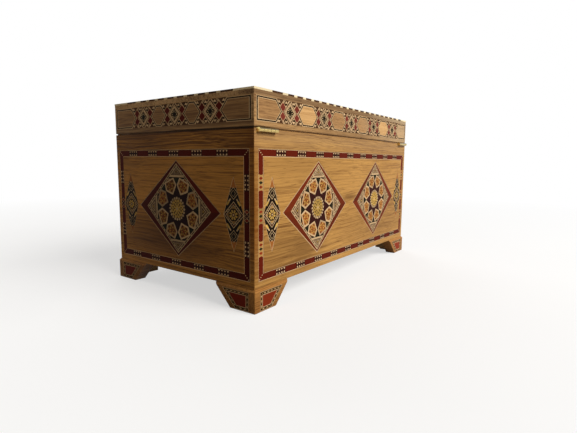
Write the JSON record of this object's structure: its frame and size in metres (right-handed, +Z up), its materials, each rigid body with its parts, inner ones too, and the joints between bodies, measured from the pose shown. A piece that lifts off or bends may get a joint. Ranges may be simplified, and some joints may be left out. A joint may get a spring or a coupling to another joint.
{
  "type": "inlaid wooden box",
  "caption": "Rectangular walnut box with marquetry inlay, bracket feet and a hinged lid, for jewellery and keepsakes.",
  "frame": {"origin": "centre of the rectangle that the soles stand on, at the height of the soles", "axes": "+Z up, +X along the long side, the lock side faces -Y and the hinges are on the +Y side"},
  "size_m": [0.2424, 0.146, 0.1366],
  "materials": {
    "walnut": "semi-gloss lacquered walnut veneer, grain along the box",
    "foot_wood": "semi-gloss lacquered walnut",
    "plain_wood": "bare plywood and softwood",
    "dark_inlay": "maroon and cream wood inlay under lacquer",
    "red_inlay": "wood and bone mosaic under lacquer",
    "pale_inlay": "wood and bone mosaic under lacquer",
    "velvet": "dark red cotton velvet",
    "brass": "lightly tarnished yellow brass",
    "steel": "plain steel"
  },
  "bodies": {
    "box": {"front_wall": "walnut", "back_wall": "walnut", "right_wall": "walnut", "left_wall": "walnut", "bottom_board": "plain_wood", "front_frame_inlay": "dark_inlay", "back_frame_inlay": "dark_inlay", "right_frame_inlay": "dark_inlay", "left_frame_inlay": "dark_inlay", "front_lozenges": "red_inlay", "back_lozenges": "red_inlay", "right_lozenge": "red_inlay", "left_lozenge": "red_inlay", "front_slim_lozenges": "pale_inlay", "back_slim_lozenges": "pale_inlay", "right_slim_lozenges": "pale_inlay", "left_slim_lozenges": "pale_inlay", "foot_front_right": "foot_wood", "foot_front_left": "foot_wood", "foot_back_right": "foot_wood", "foot_back_left": "foot_wood", "foot_inlay_front_right": "red_inlay", "foot_inlay_front_left": "red_inlay", "foot_inlay_back_right": "red_inlay", "foot_inlay_back_left": "red_inlay", "foot_glue_blocks": "plain_wood", "floor_velvet": "velvet", "wall_velvet": "velvet", "hinge_right_body_leaf": "brass", "hinge_left_body_leaf": "brass", "hinge_right_pin": "brass", "hinge_left_pin": "brass", "body_leaf_screws": "brass", "lock_case": "brass", "escutcheon": "brass", "escutcheon_pins": "brass"},
    "lid": {"lid_front_rail": "walnut", "lid_back_rail": "walnut", "lid_right_rail": "walnut", "lid_left_rail": "walnut", "lid_board": "walnut", "lid_front_band": "pale_inlay", "lid_back_band": "pale_inlay", "lid_right_band": "pale_inlay", "lid_left_band": "pale_inlay", "lid_edge_front": "pale_inlay", "lid_edge_back": "pale_inlay", "lid_edge_right": "pale_inlay", "lid_edge_left": "pale_inlay", "lid_field": "walnut", "lid_top_lozenge": "red_inlay", "lid_velvet": "velvet", "lid_rail_velvet": "velvet", "hinge_right_lid_leaf": "brass", "hinge_left_lid_leaf": "brass", "lid_leaf_screws": "brass", "lock_link_plate": "brass"},
    "bolt": {"lock_bolt": "steel"}
  },
  "joints": [
    {"name": "lid_hinge", "type": "hinge", "parent": "box", "child": "lid", "pos_m": [0, 0.0725, 0.11185], "axis": [-1, 0, 0], "range_deg": [0, 100]},
    {"name": "bolt_slide", "type": "slide", "parent": "box", "child": "bolt", "axis": [1, 0, 0], "range_m": [0, 0.004]}
  ]
}
